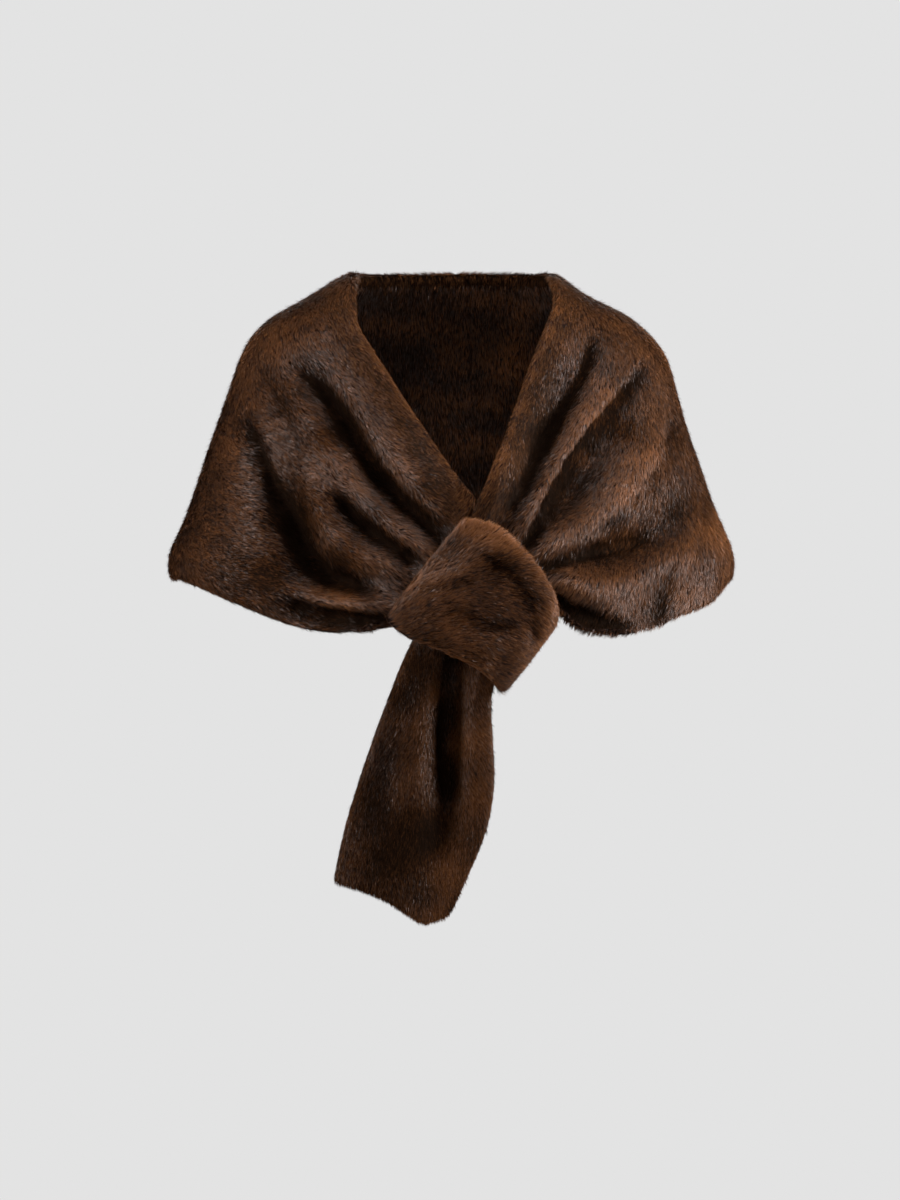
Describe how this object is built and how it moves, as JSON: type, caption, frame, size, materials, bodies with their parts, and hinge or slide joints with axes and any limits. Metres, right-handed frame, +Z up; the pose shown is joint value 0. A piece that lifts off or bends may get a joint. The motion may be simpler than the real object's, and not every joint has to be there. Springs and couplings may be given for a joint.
{
  "type": "fur cape",
  "caption": "Short fur cape worn over the shoulders, hollow and open at neck and hem, closed at the front by a long tail pulled through a wide fur loop.",
  "frame": {"origin": "middle of the wearer's shoulder line, just under the cape's neck edge, where the shoulders carry it", "axes": "+Z up, -Y out of the wearer's chest, +X to the wearer's left"},
  "size_m": [0.5699, 0.3494, 0.6545],
  "materials": {
    "fur": "short dense dark brown pile, like mink, with a soft sheen",
    "fur_lining": "the same pile in shade, very dark brown"
  },
  "bodies": {
    "root": {"back": "fur", "back_lining": "fur_lining", "right_front": "fur", "left_front": "fur", "loop": "fur", "tail": "fur"}
  },
  "joints": []
}
